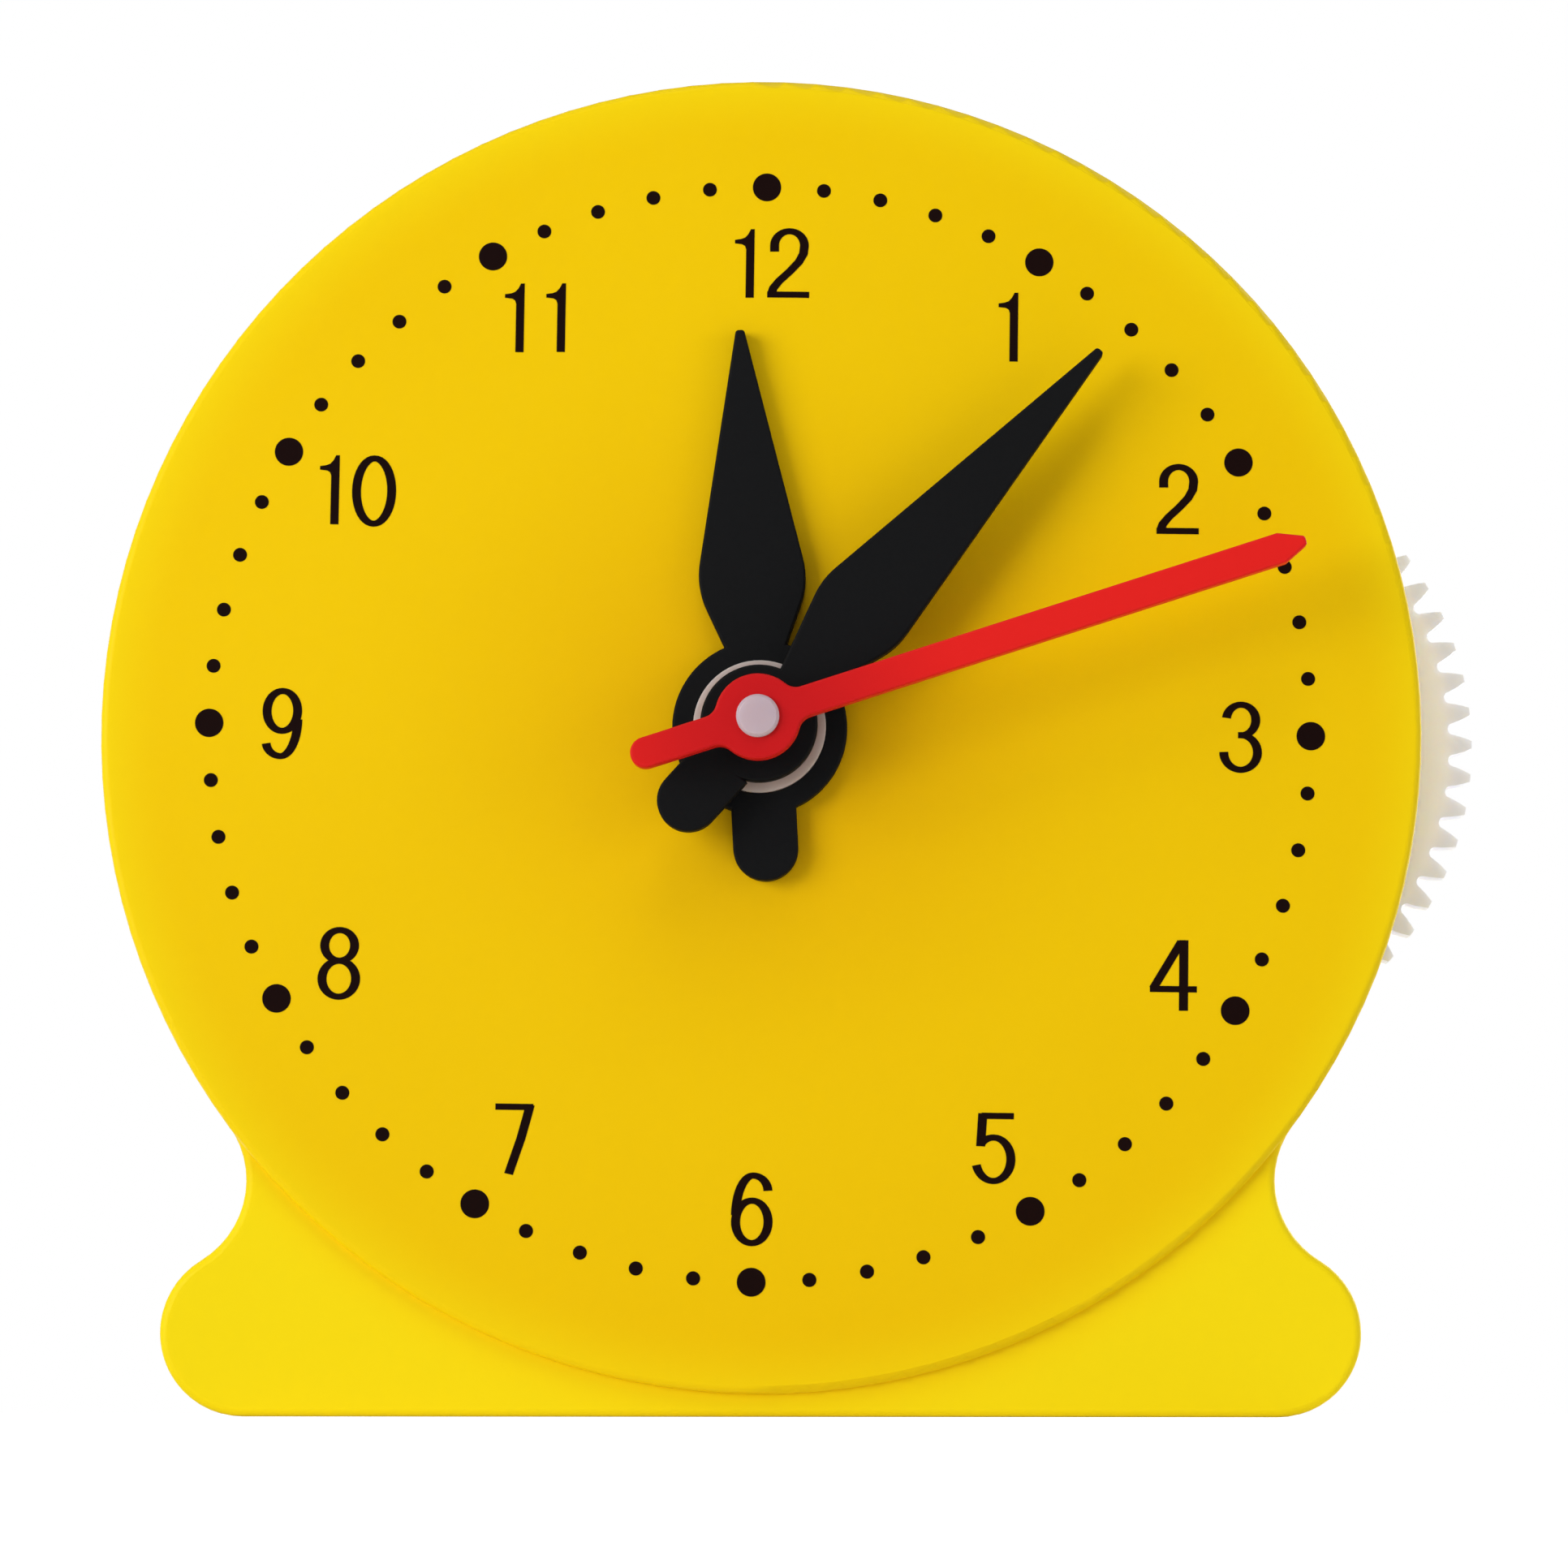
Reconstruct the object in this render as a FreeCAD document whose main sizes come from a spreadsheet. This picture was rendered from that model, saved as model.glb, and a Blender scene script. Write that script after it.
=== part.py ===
import FreeCAD, Part
import math
import os

import Sketcher

# A pupil's geared teaching clock in millimetres. The dial faces -Y, +Z is up, and the origin is the middle
# of the flat face that the foot stands on. Every piece is drawn as it is seen from the front, in its own XY
# plane with its own +Z towards the viewer and its zero at the face of the dial, and then stood up.

# Driving sizes: lengths in millimetres, angles in degrees, teeth and screws in counts
SIZES = (
    # Case
    ("disc_radius", 50.0),
    ("foot_drop", 1.7),
    ("neck_radius", 7.0),
    ("foot_corner_radius", 6.3),
    ("foot_half_width", 45.1),
    ("foot_step", 0.9),
    ("edge_radius", 0.6),
    ("dial_thickness", 2.0),
    ("wall", 1.8),
    ("cover_thickness", 1.8),
    ("rear_space", 2.2),
    ("lip_height", 1.5),
    ("lip_wall", 1.2),
    ("lip_clearance", 0.15),
    ("slot_clearance", 0.7),
    ("overrun", 1.0),
    # Bosses and screws
    ("collar_height", 4.5),
    ("collar_wall", 2.2),
    ("post_radius", 3.0),
    ("second_boss_radius", 4.0),
    ("blind_floor", 0.9),
    ("screw_boss_radius", 2.8),
    ("screw_boss_margin", 1.2),
    ("upper_screw_angle", 39.0),
    ("screw_radius", 1.1),
    ("screw_length", 8.0),
    ("screw_tip_length", 1.2),
    ("screw_hole_spare", 1.0),
    ("screw_head_radius", 2.0),
    ("screw_head_height", 0.8),
    ("screw_hole_clearance", 0.2),
    ("cross_width", 0.5),
    ("cross_length", 2.2),
    ("cross_depth", 0.4),
    # Fits
    ("running_clearance", 0.08),
    ("pin_clearance", 0.06),
    ("axial_play", 0.2),
    # Hour train
    ("hour_teeth", 45),
    ("thumb_pinion_teeth", 15),
    ("hour_wheel_thickness", 2.5),
    ("hour_tube_radius", 5.0),
    # Minute train: the thumb wheel stands out of the disc by a fingertip's hold
    ("thumb_stand_out", 4.8),
    ("thumb_teeth", 60),
    ("minute_pinion_teeth", 15),
    ("thumb_wheel_gap", 1.5),
    ("thumb_wheel_thickness", 2.6),
    ("minute_wheel_gap", 1.0),
    ("minute_tube_radius", 3.4),
    ("tube_proud", 0.3),
    # Second train: the third wheel stays clear of the inside of the disc's wall
    ("third_wheel_margin", 4.7),
    ("minute_wheel_teeth", 70),
    ("third_pinion_teeth", 7),
    ("third_wheel_teeth", 66),
    ("second_pinion_teeth", 11),
    ("minute_wheel_thickness", 2.0),
    ("third_wheel_gap", 1.2),
    ("third_wheel_thickness", 2.0),
    ("second_arbor_radius", 1.6),
    ("second_pivot_radius", 1.3),
    ("second_pivot_length", 2.6),
    ("spring_space", 0.6),
    ("spring_thickness", 0.15),
    ("spring_radius", 3.0),
    # Axles and webs of the wheels
    ("thumb_axle_radius", 1.0),
    ("third_axle_radius", 0.9),
    ("rim_width", 2.2),
    ("hub_width", 2.4),
    ("web_recess", 0.7),
    # Hands
    ("hour_hand_gap", 0.3),
    ("hour_hand_thickness", 1.4),
    ("hour_hub_radius", 6.6),
    ("hour_hand_length", 30.4),
    ("hour_shoulder_reach", 10.9),
    ("hour_shoulder_half_width", 4.28),
    ("hour_root_half_width", 2.2),
    ("hour_tail_length", 11.6),
    ("hour_tail_half_width", 2.45),
    ("hour_tube_proud", 0.5),
    ("hour_hand_angle", -2.9),
    ("minute_hand_gap", 1.0),
    ("minute_hand_thickness", 1.4),
    ("minute_seat_depth", 0.9),
    ("minute_hub_radius", 4.4),
    ("minute_hand_length", 38.2),
    ("minute_shoulder_reach", 11.2),
    ("minute_shoulder_half_width", 3.82),
    ("minute_root_half_width", 1.5),
    ("minute_tail_length", 10.2),
    ("minute_tail_half_width", 2.35),
    ("minute_hand_angle", 42.3),
    ("shoulder_rounding", 6.0),
    ("tip_half_width", 0.32),
    ("tip_rounding", 0.25),
    ("hand_edge_radius", 0.2),
    ("second_hand_gap", 2.9),
    ("second_hand_thickness", 1.4),
    ("second_hub_radius", 3.2),
    ("second_hand_length", 42.8),
    ("second_blade_half_width", 1.15),
    ("second_point_length", 1.9),
    ("second_tail_length", 9.9),
    ("second_hub_fillet", 1.2),
    ("second_collar_radius", 2.5),
    ("second_arbor_proud", 0.5),
    ("second_arbor_chamfer", 0.22),
    ("second_hand_angle", 72.1),
)

# Places worked out from the driving sizes: depths run backwards from the face of the dial
LAYOUT = (
    ("dial_height", "=Sizes.disc_radius + Sizes.foot_drop"),
    ("foot_corner_x", "=Sizes.foot_half_width - Sizes.foot_corner_radius"),
    ("foot_corner_down", "=dial_height - Sizes.foot_corner_radius"),
    ("hour_front", "=Sizes.dial_thickness + Sizes.collar_height + Sizes.axial_play"),
    ("hour_rear", "=hour_front + Sizes.hour_wheel_thickness"),
    ("minute_pinion_front", "=hour_rear + Sizes.axial_play"),
    ("thumb_wheel_front", "=hour_rear + Sizes.thumb_wheel_gap"),
    ("thumb_wheel_rear", "=thumb_wheel_front + Sizes.thumb_wheel_thickness"),
    ("minute_wheel_front", "=thumb_wheel_rear + Sizes.minute_wheel_gap"),
    ("minute_wheel_rear", "=minute_wheel_front + Sizes.minute_wheel_thickness"),
    ("minute_arbor_rear", "=minute_wheel_rear + Sizes.tube_proud"),
    ("second_pinion_front", "=minute_arbor_rear + Sizes.axial_play"),
    ("third_pinion_front", "=minute_wheel_front - Sizes.axial_play"),
    ("third_wheel_front", "=minute_wheel_rear + Sizes.third_wheel_gap"),
    ("third_wheel_rear", "=third_wheel_front + Sizes.third_wheel_thickness"),
    ("second_pinion_rear", "=third_wheel_rear + Sizes.axial_play"),
    ("third_boss_front", "=third_wheel_rear + Sizes.axial_play"),
    ("second_boss_front", "=second_pinion_rear + Sizes.spring_space"),
    ("thumb_post_front", "=thumb_wheel_rear + Sizes.axial_play"),
    ("shell_depth", "=third_wheel_rear + Sizes.rear_space"),
    ("case_depth", "=shell_depth + Sizes.cover_thickness"),
    ("dial_face_y", "=-case_depth / 2"),
    ("second_pivot_rear", "=second_pinion_rear + Sizes.second_pivot_length"),
    ("axle_rear", "=case_depth - Sizes.blind_floor"),
    ("axle_front", "=Sizes.blind_floor"),
    ("third_axle_front", "=third_pinion_front - Sizes.axial_play"),
    ("hour_hand_rear", "=Sizes.hour_hand_gap"),
    ("hour_hand_face", "=hour_hand_rear + Sizes.hour_hand_thickness"),
    ("hour_tube_end", "=hour_hand_face + Sizes.hour_tube_proud"),
    ("minute_hand_rear", "=hour_tube_end + Sizes.minute_hand_gap"),
    ("minute_hand_face", "=minute_hand_rear + Sizes.minute_hand_thickness"),
    ("minute_tube_end", "=minute_hand_rear + Sizes.minute_seat_depth"),
    ("second_hand_rear", "=minute_hand_face + Sizes.second_hand_gap"),
    ("second_hand_face", "=second_hand_rear + Sizes.second_hand_thickness"),
    ("second_arbor_end", "=second_hand_face + Sizes.second_arbor_proud"),
    ("minute_pair_modules", "=(Sizes.thumb_teeth + Sizes.minute_pinion_teeth) / 2"),
    ("third_pair_modules", "=(Sizes.minute_wheel_teeth + Sizes.third_pinion_teeth) / 2"),
    ("thumb_tip_modules", "=Sizes.thumb_teeth / 2 + 1"),
    ("third_tip_modules", "=Sizes.third_wheel_teeth / 2 + 1"),
    ("thumb_reach", "=Sizes.disc_radius + Sizes.thumb_stand_out"),
    ("third_reach", "=Sizes.disc_radius - Sizes.wall - Sizes.third_wheel_margin"),
    ("medium_module", "=thumb_reach / (minute_pair_modules + thumb_tip_modules)"),
    ("fine_module", "=third_reach / (third_pair_modules + third_tip_modules)"),
    ("thumb_x", "=medium_module * minute_pair_modules"),
    ("third_x", "=-fine_module * third_pair_modules"),
    ("hour_module", "=2 * thumb_x / (Sizes.hour_teeth + Sizes.thumb_pinion_teeth)"),
    ("second_module", "=-2 * third_x / (Sizes.third_wheel_teeth + Sizes.second_pinion_teeth)"),
    ("thumb_tip_radius", "=medium_module * thumb_tip_modules"),
    ("dial_hole_radius", "=Sizes.hour_tube_radius + Sizes.running_clearance"),
    ("hour_bore_radius", "=Sizes.minute_tube_radius + Sizes.running_clearance"),
    ("minute_bore_radius", "=Sizes.second_arbor_radius + Sizes.running_clearance"),
    ("boss_clearance", "=Sizes.wall + Sizes.screw_boss_margin + Sizes.screw_boss_radius"),
    ("upper_screw_ring", "=Sizes.disc_radius - boss_clearance"),
    ("upper_screw_x", "=upper_screw_ring * sin(Sizes.upper_screw_angle * 1 deg)"),
    ("upper_screw_y", "=upper_screw_ring * cos(Sizes.upper_screw_angle * 1 deg)"),
    ("screw_seat", "=case_depth - Sizes.screw_head_height"),
    ("screw_end", "=screw_seat - Sizes.screw_length"),
)

# Shares of the module that shape a tooth, and the involute's pressure angle in degrees
ADDENDUM_SHARE = 1.0
DEDENDUM_SHARE = 1.25
FOOT_SHARE = 0.3
BACKLASH_SHARE = 0.15
PRESSURE_ANGLE = 20.0
# Profile shifts that keep the two small pinions from being undercut, taken off their wheels again
THIRD_SHIFT_SHARE = 0.6
SECOND_SHIFT_SHARE = 0.36
THIRD_ADDENDUM_SHARE = 0.72

ORIGIN_POINT = (-1, 1)
LEVEL_AXIS = -1
UPRIGHT_AXIS = -2
START, END, CENTRE = 1, 2, 3
FACING = FreeCAD.Vector(0, 0, 1)
SAME_PLACE = 1e-4

doc = FreeCAD.newDocument("TeachingClock")


def make_sheet(name, rows):
    """A spreadsheet with one aliased value in each row."""
    sheet = doc.addObject("Spreadsheet::Sheet", name)
    for row, (alias, content) in enumerate(rows, start=1):
        sheet.set("A%d" % row, alias)
        sheet.set("B%d" % row, str(content))
        sheet.setAlias("B%d" % row, alias)
    doc.recompute()
    return sheet


sizes = make_sheet("Sizes", SIZES)
layout = make_sheet("Layout", LAYOUT)


def value(expression):
    """The number that an expression on the sheets gives now."""
    result = layout.evalExpression(expression)
    return float(getattr(result, "Value", result))


def new_body(label):
    body = doc.addObject("PartDesign::Body", label)
    body.Label = label
    return body


def new_sketch(body, name, level="0"):
    """A sketch parallel to the dial, at a level in front of the dial's face (minus is behind it)."""
    sketch = body.newObject("Sketcher::SketchObject", name)
    plane = next(item for item in body.Origin.OriginFeatures if item.Role == "XY_Plane")
    sketch.AttachmentSupport = [(plane, "")]
    sketch.MapMode = "FlatFace"
    sketch.setExpression("AttachmentOffset.Base.z", level)
    return sketch


def bind(sketch, constraint, expression):
    """Add a constraint whose value follows an expression."""
    index = sketch.addConstraint(constraint)
    sketch.setExpression("Constraints[%d]" % index, expression)


def locate(sketch, geometry, point, across, up):
    """Hold a point of the sketch at a place given by two expressions."""
    for kind, expression, axis in (("DistanceX", across, UPRIGHT_AXIS), ("DistanceY", up, LEVEL_AXIS)):
        distance = value(expression)
        if abs(distance) < SAME_PLACE:
            sketch.addConstraint(Sketcher.Constraint("PointOnObject", geometry, point, axis))
        elif distance > 0:
            bind(sketch, Sketcher.Constraint(kind, *ORIGIN_POINT, geometry, point, distance), expression)
        else:
            reverse = Sketcher.Constraint(kind, geometry, point, *ORIGIN_POINT, -distance)
            bind(sketch, reverse, "-(%s)" % expression)


def add_circle(sketch, radius, across="0", up="0"):
    centre = FreeCAD.Vector(value(across), value(up), 0)
    index = sketch.addGeometry(Part.Circle(centre, FACING, value(radius)))
    bind(sketch, Sketcher.Constraint("Radius", index, value(radius)), radius)
    locate(sketch, index, CENTRE, across, up)


def add_polygon(sketch, corners):
    """A closed outline of straight edges, each corner held by two expressions."""
    points = [FreeCAD.Vector(value(across), value(up), 0) for across, up in corners]
    count = len(points)
    first = sketch.GeometryCount
    for index in range(count):
        sketch.addGeometry(Part.LineSegment(points[index], points[(index + 1) % count]))
    for index, (across, up) in enumerate(corners):
        following = first + (index + 1) % count
        sketch.addConstraint(Sketcher.Constraint("Coincident", first + index, END, following, START))
        locate(sketch, first + index, START, across, up)


def arc(centre, radius, start_point, end_point):
    """The arc that runs anticlockwise about the centre from one point to the other."""
    angles = [math.atan2(point.y - centre.y, point.x - centre.x) for point in (start_point, end_point)]
    if angles[1] < angles[0]:
        angles[1] += 2 * math.pi
    return Part.ArcOfCircle(Part.Circle(centre, FACING, radius), *angles)


def add_case_outline(sketch, inset):
    """The case seen from the front: disc, two hollow necks, two round corners and the flat base."""
    disc_radius = value("Sizes.disc_radius - (%s)" % inset)
    neck_radius = value("Sizes.neck_radius + (%s)" % inset)
    corner_radius = value("Sizes.foot_corner_radius - (%s)" % inset)
    base = -value("Layout.dial_height - (%s)" % inset)
    disc_centre = FreeCAD.Vector(0, 0, 0)
    corner_centre = FreeCAD.Vector(value("Layout.foot_corner_x"), -value("Layout.foot_corner_down"), 0)
    # The neck's circle touches the disc and the corner from outside
    disc_to_neck = disc_radius + neck_radius
    corner_to_neck = corner_radius + neck_radius
    reach = corner_centre.Length
    along = (disc_to_neck ** 2 - corner_to_neck ** 2 + reach ** 2) / (2 * reach)
    aside = math.sqrt(disc_to_neck ** 2 - along ** 2)
    outward = corner_centre / reach
    neck_centre = outward * along + FreeCAD.Vector(-outward.y, outward.x, 0) * aside
    disc_touch = neck_centre * (disc_radius / disc_to_neck)
    corner_touch = corner_centre + (neck_centre - corner_centre) * (corner_radius / corner_to_neck)
    corner_base = FreeCAD.Vector(corner_centre.x, base, 0)

    def left(point):
        return FreeCAD.Vector(-point.x, point.y, 0)

    first = sketch.GeometryCount
    disc, left_neck, left_corner, floor, right_corner, right_neck = range(first, first + 6)
    sketch.addGeometry(arc(disc_centre, disc_radius, disc_touch, left(disc_touch)))
    sketch.addGeometry(arc(left(neck_centre), neck_radius, left(corner_touch), left(disc_touch)))
    sketch.addGeometry(arc(left(corner_centre), corner_radius, left(corner_touch), left(corner_base)))
    sketch.addGeometry(Part.LineSegment(left(corner_base), corner_base))
    sketch.addGeometry(arc(corner_centre, corner_radius, corner_base, corner_touch))
    sketch.addGeometry(arc(neck_centre, neck_radius, disc_touch, corner_touch))
    for one, one_end, other, other_end in (
        (disc, END, left_neck, END),
        (left_neck, START, left_corner, START),
        (left_corner, END, floor, START),
        (floor, END, right_corner, START),
        (right_corner, END, right_neck, END),
        (right_neck, START, disc, START),
    ):
        sketch.addConstraint(Sketcher.Constraint("Tangent", one, one_end, other, other_end))
    sketch.addConstraint(Sketcher.Constraint("Coincident", disc, CENTRE, *ORIGIN_POINT))
    sketch.addConstraint(Sketcher.Constraint("Horizontal", floor))
    bind(sketch, Sketcher.Constraint("Radius", disc, disc_radius), "Sizes.disc_radius - (%s)" % inset)
    for neck in (left_neck, right_neck):
        bind(sketch, Sketcher.Constraint("Radius", neck, neck_radius), "Sizes.neck_radius + (%s)" % inset)
    for corner in (left_corner, right_corner):
        radius = Sketcher.Constraint("Radius", corner, corner_radius)
        bind(sketch, radius, "Sizes.foot_corner_radius - (%s)" % inset)
    height = Sketcher.Constraint("DistanceY", floor, START, *ORIGIN_POINT, -base)
    bind(sketch, height, "Layout.dial_height - (%s)" % inset)
    spread = Sketcher.Constraint("DistanceX", *ORIGIN_POINT, right_corner, CENTRE, corner_centre.x)
    bind(sketch, spread, "Layout.foot_corner_x")
    spread = Sketcher.Constraint("DistanceX", left_corner, CENTRE, *ORIGIN_POINT, corner_centre.x)
    bind(sketch, spread, "Layout.foot_corner_x")


def pad(body, sketch, length, backwards=False):
    """Add material from the sketch, towards the viewer unless it runs backwards."""
    feature = body.newObject("PartDesign::Pad", sketch.Name + "Pad")
    feature.Profile = sketch
    feature.Reversed = backwards
    feature.setExpression("Length", length)
    sketch.Visibility = False
    doc.recompute()
    return feature


def pocket(body, sketch, length, forwards=False):
    """Cut from the sketch backwards, or towards the viewer, and make sure that something was cut."""
    before = body.Shape.Volume
    feature = body.newObject("PartDesign::Pocket", sketch.Name + "Pocket")
    feature.Profile = sketch
    feature.Reversed = forwards
    feature.setExpression("Length", length)
    sketch.Visibility = False
    doc.recompute()
    if not body.Shape.Volume < before:
        raise RuntimeError(feature.Name + " cuts nothing")
    return feature


def edge_names(shape, wanted):
    """Names of the edges that pass a test."""
    return ["Edge%d" % (index + 1) for index, edge in enumerate(shape.Edges) if wanted(edge)]


def lies_at(edge, level):
    return abs(edge.BoundBox.ZMin - level) < SAME_PLACE and abs(edge.BoundBox.ZMax - level) < SAME_PLACE


def round_edges(body, name, radius, wanted):
    """Fillet the edges of the body's last feature that pass a test."""
    base = body.Tip
    feature = body.newObject("PartDesign::Fillet", name)
    feature.Base = (base, edge_names(base.Shape, wanted))
    feature.setExpression("Radius", radius)
    doc.recompute()
    return feature


def stand_up(piece, across="0", clockwise=0.0):
    """Turn a piece from its drawing plane to face -Y and put it at the height of the dial's centre."""
    upright = FreeCAD.Rotation(FreeCAD.Vector(1, 0, 0), 90)
    turned = FreeCAD.Rotation(FACING, -clockwise)
    place = FreeCAD.Vector(value(across), value("Layout.dial_face_y"), value("Layout.dial_height"))
    piece.Placement = FreeCAD.Placement(place, upright * turned)
    piece.setExpression("Placement.Base.x", across)
    piece.setExpression("Placement.Base.y", "Layout.dial_face_y")
    piece.setExpression("Placement.Base.z", "Layout.dial_height")
    return piece


# Primitives and booleans for the turned and toothed pieces


def rod(name, radius, front, rear):
    """A cylinder about the piece's own axis between two depths behind the dial's face."""
    piece = doc.addObject("Part::Cylinder", name)
    piece.setExpression("Radius", radius)
    piece.setExpression("Height", "(%s) - (%s)" % (rear, front))
    piece.setExpression("Placement.Base.z", "-(%s)" % rear)
    return piece


def fused(name, pieces):
    piece = doc.addObject("Part::MultiFuse", name)
    piece.Shapes = pieces
    return piece


def bored(name, base, tool):
    piece = doc.addObject("Part::Cut", name)
    piece.Base = base
    piece.Tool = tool
    return piece


# The side on which a gear meets its mate, as an angle from +X, and whether a gap lies there
TOOTH_RIGHT = (0.0, False)
TOOTH_LEFT = (math.pi, False)
GAP_RIGHT = (0.0, True)
GAP_LEFT = (math.pi, True)

# Each gear's module and number of teeth
HOUR_GEAR = ("Layout.hour_module", "Sizes.hour_teeth")
THUMB_PINION_GEAR = ("Layout.hour_module", "Sizes.thumb_pinion_teeth")
THUMB_GEAR = ("Layout.medium_module", "Sizes.thumb_teeth")
MINUTE_PINION_GEAR = ("Layout.medium_module", "Sizes.minute_pinion_teeth")
MINUTE_GEAR = ("Layout.fine_module", "Sizes.minute_wheel_teeth")
THIRD_PINION_GEAR = ("Layout.fine_module", "Sizes.third_pinion_teeth")
THIRD_GEAR = ("Layout.second_module", "Sizes.third_wheel_teeth")
SECOND_PINION_GEAR = ("Layout.second_module", "Sizes.second_pinion_teeth")


def involute(angle):
    return math.tan(angle) - angle


def tooth_edges(module, teeth, shift_share, addendum_share, start_angle):
    """Edges of a whole spur gear's outline: flanks, tips and round root gaps, all three-point arcs.

    The first tooth's middle lies at the start angle.
    """
    pressure = math.radians(PRESSURE_ANGLE)
    pitch_radius = module * teeth / 2
    base_radius = pitch_radius * math.cos(pressure)
    root_radius = pitch_radius + module * (shift_share - DEDENDUM_SHARE)
    tip_radius = pitch_radius + module * (shift_share + addendum_share)
    foot_radius = max(base_radius, root_radius + module * FOOT_SHARE)
    middle_radius = (foot_radius + tip_radius) / 2
    thinning = module * BACKLASH_SHARE / (4 * pitch_radius)
    half_at_pitch = (math.pi / 2 + 2 * shift_share * math.tan(pressure)) / teeth - thinning

    def half_angle(radius):
        roll = math.acos(base_radius / radius)
        return half_at_pitch + involute(pressure) - involute(roll)

    def point(radius, angle):
        return FreeCAD.Vector(radius * math.cos(angle), radius * math.sin(angle), 0)

    def three_point_arc(*points):
        return Part.Arc(*points).toShape()

    pitch_angle = 2 * math.pi / teeth
    edges = []
    for index in range(teeth):
        middle = start_angle + pitch_angle * index
        foot = half_angle(foot_radius)
        flank = half_angle(middle_radius)
        tip = half_angle(tip_radius)
        rising = [(foot_radius, -foot), (middle_radius, -flank), (tip_radius, -tip)]
        crest = [(tip_radius, -tip), (tip_radius, 0), (tip_radius, tip)]
        falling = [(tip_radius, tip), (middle_radius, flank), (foot_radius, foot)]
        gap = [(foot_radius, foot), (root_radius, pitch_angle / 2), (foot_radius, pitch_angle - foot)]
        for places in (rising, crest, falling, gap):
            edges.append(three_point_arc(*(point(radius, middle + angle) for radius, angle in places)))
    return edges


def toothed_disc(name, gear, front, rear, mesh, shift_share=0.0, addendum_share=ADDENDUM_SHARE):
    """A spur gear without its bore, between two depths behind the dial's face.

    The gear is its module and its number of teeth. In each pair of gears, the wheel has a tooth on the line
    between the two axes and the pinion a gap: mesh is one of the four places named above.
    """
    module, teeth = gear
    count = round(value(teeth))
    side, has_gap = mesh
    start_angle = side + (math.pi / count if has_gap else 0.0)
    edges = tooth_edges(value(module), count, shift_share, addendum_share, start_angle)
    outline = Part.Face(Part.Wire(edges))
    piece = doc.addObject("Part::Feature", name)
    piece.Shape = outline.extrude(FACING * value("(%s) - (%s)" % (rear, front)))
    piece.Placement.Base = FreeCAD.Vector(0, 0, -value(rear))
    return piece


def web_recess(name, gear, hub_radius, face, from_rear):
    """The ring that thins a moulded wheel between its rim and its hub, cut into its front or rear face."""
    outer = "%s * (%s / 2 - %s) - Sizes.rim_width" % (*gear, DEDENDUM_SHARE)
    if from_rear:
        front, rear = "(%s) - Sizes.web_recess" % face, "(%s) + Sizes.overrun" % face
    else:
        front, rear = "(%s) - Sizes.overrun" % face, "(%s) + Sizes.web_recess" % face
    disc = rod(name + "Disc", outer, front, rear)
    core = rod(name + "Core", "(%s) + Sizes.hub_width" % hub_radius, front, rear)
    return bored(name, disc, core)


# Pieces of the case


def screw_places():
    """The four screws: two high up inside the disc and two in the foot's corners."""
    upper = ("Layout.upper_screw_x", "Layout.upper_screw_y")
    lower = ("Layout.foot_corner_x", "-Layout.foot_corner_down")
    places = []
    for across, up in (upper, lower):
        places.append((across, up))
        places.append(("-" + across, up))
    return places


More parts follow.
